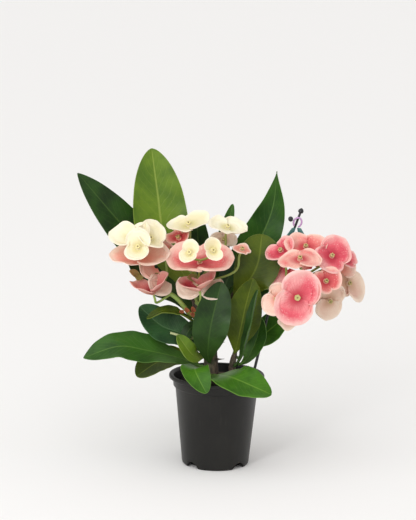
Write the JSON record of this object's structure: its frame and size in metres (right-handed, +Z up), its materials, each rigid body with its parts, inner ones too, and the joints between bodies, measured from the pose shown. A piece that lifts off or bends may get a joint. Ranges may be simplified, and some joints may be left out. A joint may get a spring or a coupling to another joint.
{
  "type": "potted plant",
  "caption": "Crown of thorns plant with pink and cream flowers in a black nursery pot, with a thin support rod and clip.",
  "frame": {"origin": "middle of the pot's underside, on the ground", "axes": "+Z up, +X to the right as seen from the front, -Y towards the front, where the open flowers face"},
  "size_m": [0.31, 0.1809, 0.3331],
  "materials": {
    "bark": "matte",
    "bract_cream": "matte",
    "bract_pink": "matte",
    "bract_tan": "matte",
    "clip_lilac": "satin",
    "clip_teal": "satin",
    "leaf_dark": "satin",
    "leaf_mature": "satin",
    "leaf_olive": "satin",
    "leaf_young": "satin",
    "pot_plastic": "satin",
    "potting_mix": "matte",
    "rod_black": "satin",
    "stalk_green": "satin"
  },
  "bodies": {
    "root": {"bloom_centre_1": "bract_cream", "bloom_centre_2": "bract_cream", "bloom_centre_3": "bract_tan", "bloom_centre_4": "bract_pink", "bloom_centre_6": "bract_cream", "bloom_centre_7": "bract_cream", "bloom_centre_8": "bract_pink", "bloom_centre_9": "bract_pink", "bloom_centre_bowl": "bract_pink", "bloom_left_1": "bract_cream", "bloom_left_4": "bract_pink", "bloom_left_5": "bract_pink", "bloom_right_1": "bract_pink", "bloom_right_11": "bract_pink", "bloom_right_12": "bract_tan", "bloom_right_5": "bract_pink", "bloom_right_6": "bract_tan", "bloom_right_8": "bract_tan", "bloom_right_front": "bract_pink", "clip_hinge": "rod_black", "clip_jaw_left": "clip_teal", "clip_jaw_right": "clip_teal", "clip_loop": "clip_lilac", "leaf_back_low": "leaf_mature", "leaf_back_right": "leaf_mature", "leaf_back_tall": "leaf_mature", "leaf_behind_left": "leaf_dark", "leaf_blue_green": "leaf_mature", "leaf_centre": "leaf_dark", "leaf_dark_back": "leaf_dark", "leaf_edge_on": "leaf_dark", "leaf_far_left": "leaf_dark", "leaf_far_right": "leaf_young", "leaf_front_right": "leaf_young", "leaf_long_left": "leaf_mature", "leaf_low_left": "leaf_olive", "leaf_low_olive": "leaf_olive", "leaf_low_right": "leaf_mature", "leaf_narrow_left": "leaf_olive", "leaf_round_olive": "leaf_olive", "leaf_slim_top": "leaf_mature", "leaf_small_left": "leaf_dark", "leaf_tall_right": "leaf_mature", "leaf_teal": "leaf_mature", "leaf_upright": "leaf_young", "leaf_young_down": "leaf_young", "leaf_young_up": "leaf_young", "pot": "pot_plastic", "side_shoot": "bark", "soil": "potting_mix", "stake": "rod_black", "stalk_centre": "stalk_green", "stalk_left": "stalk_green", "stalk_right": "stalk_green", "stem": "bark"}
  },
  "joints": []
}
